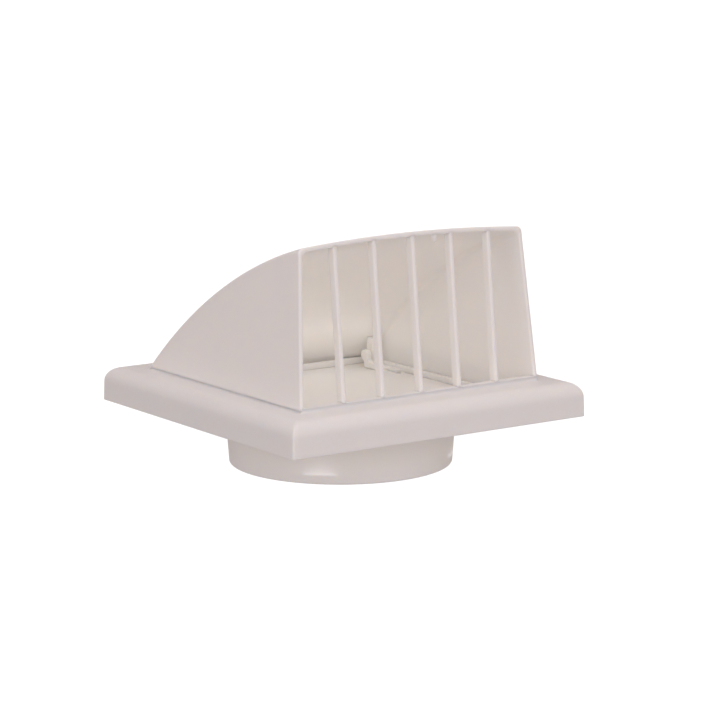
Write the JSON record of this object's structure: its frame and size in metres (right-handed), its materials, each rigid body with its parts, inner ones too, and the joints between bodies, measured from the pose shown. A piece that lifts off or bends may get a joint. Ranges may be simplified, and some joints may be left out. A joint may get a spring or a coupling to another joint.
{
  "type": "cowled duct vent",
  "caption": "Square-flanged wall vent with a curved cowl, barred mouth, round duct spigot and a hinged gravity flap inside.",
  "frame": {"origin": "where the duct spigot's axis meets the mounting plane, the rear of the back plate", "axes": "+Z out of the wall, towards the cowl; -Y the way the mouth faces; +X to the right seen from the mouth"},
  "size_m": [0.152, 0.152, 0.1077],
  "materials": {
    "cover_plastic": "semi-gloss white moulded plastic",
    "plate_plastic": "semi-gloss white moulded plastic",
    "flap_plastic": "semi-gloss white moulded plastic"
  },
  "bodies": {
    "housing": {"flange_cover": "cover_plastic", "hood_shell": "cover_plastic", "mouth_sill": "cover_plastic", "grille_bar_1": "cover_plastic", "grille_bar_2": "cover_plastic", "grille_bar_3": "cover_plastic", "grille_bar_4": "cover_plastic", "grille_bar_5": "cover_plastic", "cover_catch_front": "cover_plastic", "cover_catch_right": "cover_plastic", "cover_catch_back": "cover_plastic", "cover_catch_left": "cover_plastic", "back_plate": "plate_plastic", "locating_rim": "plate_plastic", "duct_spigot": "plate_plastic", "hinge_lug_left": "plate_plastic", "hinge_lug_right": "plate_plastic"},
    "flap": {"flap_disc": "flap_plastic", "flap_arm_left": "flap_plastic", "flap_arm_right": "flap_plastic", "flap_pin_left": "flap_plastic", "flap_pin_right": "flap_plastic"}
  },
  "joints": [
    {"name": "flap_hinge", "type": "hinge", "parent": "housing", "child": "flap", "pos_m": [0, 0.053, 0.01], "axis": [-1, 0, 0], "range_deg": [0, 40]}
  ]
}
